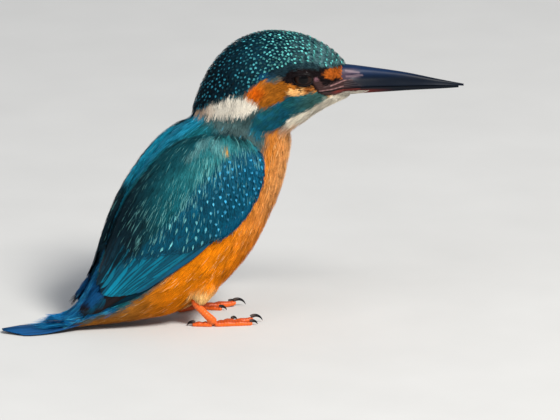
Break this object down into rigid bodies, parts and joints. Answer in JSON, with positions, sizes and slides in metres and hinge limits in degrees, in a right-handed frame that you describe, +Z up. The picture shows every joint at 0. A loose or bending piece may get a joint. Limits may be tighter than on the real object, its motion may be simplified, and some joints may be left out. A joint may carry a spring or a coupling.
{
  "type": "common kingfisher",
  "caption": "Life-size standing kingfisher with teal head and wings, azure back, orange breast, white neck patch and a long dark bill, its head turned slightly.",
  "frame": {"origin": "middle of the bounding box, on the floor that the soles and the tail rest on", "axes": "+X the way the breast faces, +Y the bird's left, +Z up"},
  "size_m": [0.1456, 0.0424, 0.0934],
  "materials": {
    "head_feathers": "soft, dark teal with pale turquoise spots",
    "collar_feathers": "soft, white patch over grey-teal",
    "body_feathers": "soft, orange below and azure along the back",
    "wing_feathers": "soft sheen, teal with turquoise spots, black-brown tips",
    "tail_feathers": "satin, deep blue",
    "leg_feathers": "soft, buff",
    "leg_skin": "scaled, orange-red, satin",
    "claw": "horn, glossy",
    "bill": "horn, satin, blue-black",
    "eye": "wet, polished"
  },
  "bodies": {
    "root": {"head": "head_feathers", "neck": "collar_feathers", "trunk": "body_feathers", "wing_right": "wing_feathers", "wing_left": "wing_feathers", "tail": "tail_feathers", "thigh_right": "leg_feathers", "thigh_left": "leg_feathers", "bill_upper": "bill", "bill_lower": "bill", "eye_right": "eye", "eye_left": "eye", "shank_right": "leg_skin", "toe_middle_right": "leg_skin", "toe_outer_right": "leg_skin", "toe_inner_right": "leg_skin", "toe_hind_right": "leg_skin", "claw_middle_right": "claw", "claw_outer_right": "claw", "claw_inner_right": "claw", "claw_hind_right": "claw", "shank_left": "leg_skin", "toe_middle_left": "leg_skin", "toe_outer_left": "leg_skin", "toe_inner_left": "leg_skin", "toe_hind_left": "leg_skin", "claw_middle_left": "claw", "claw_outer_left": "claw", "claw_inner_left": "claw", "claw_hind_left": "claw"}
  },
  "joints": []
}
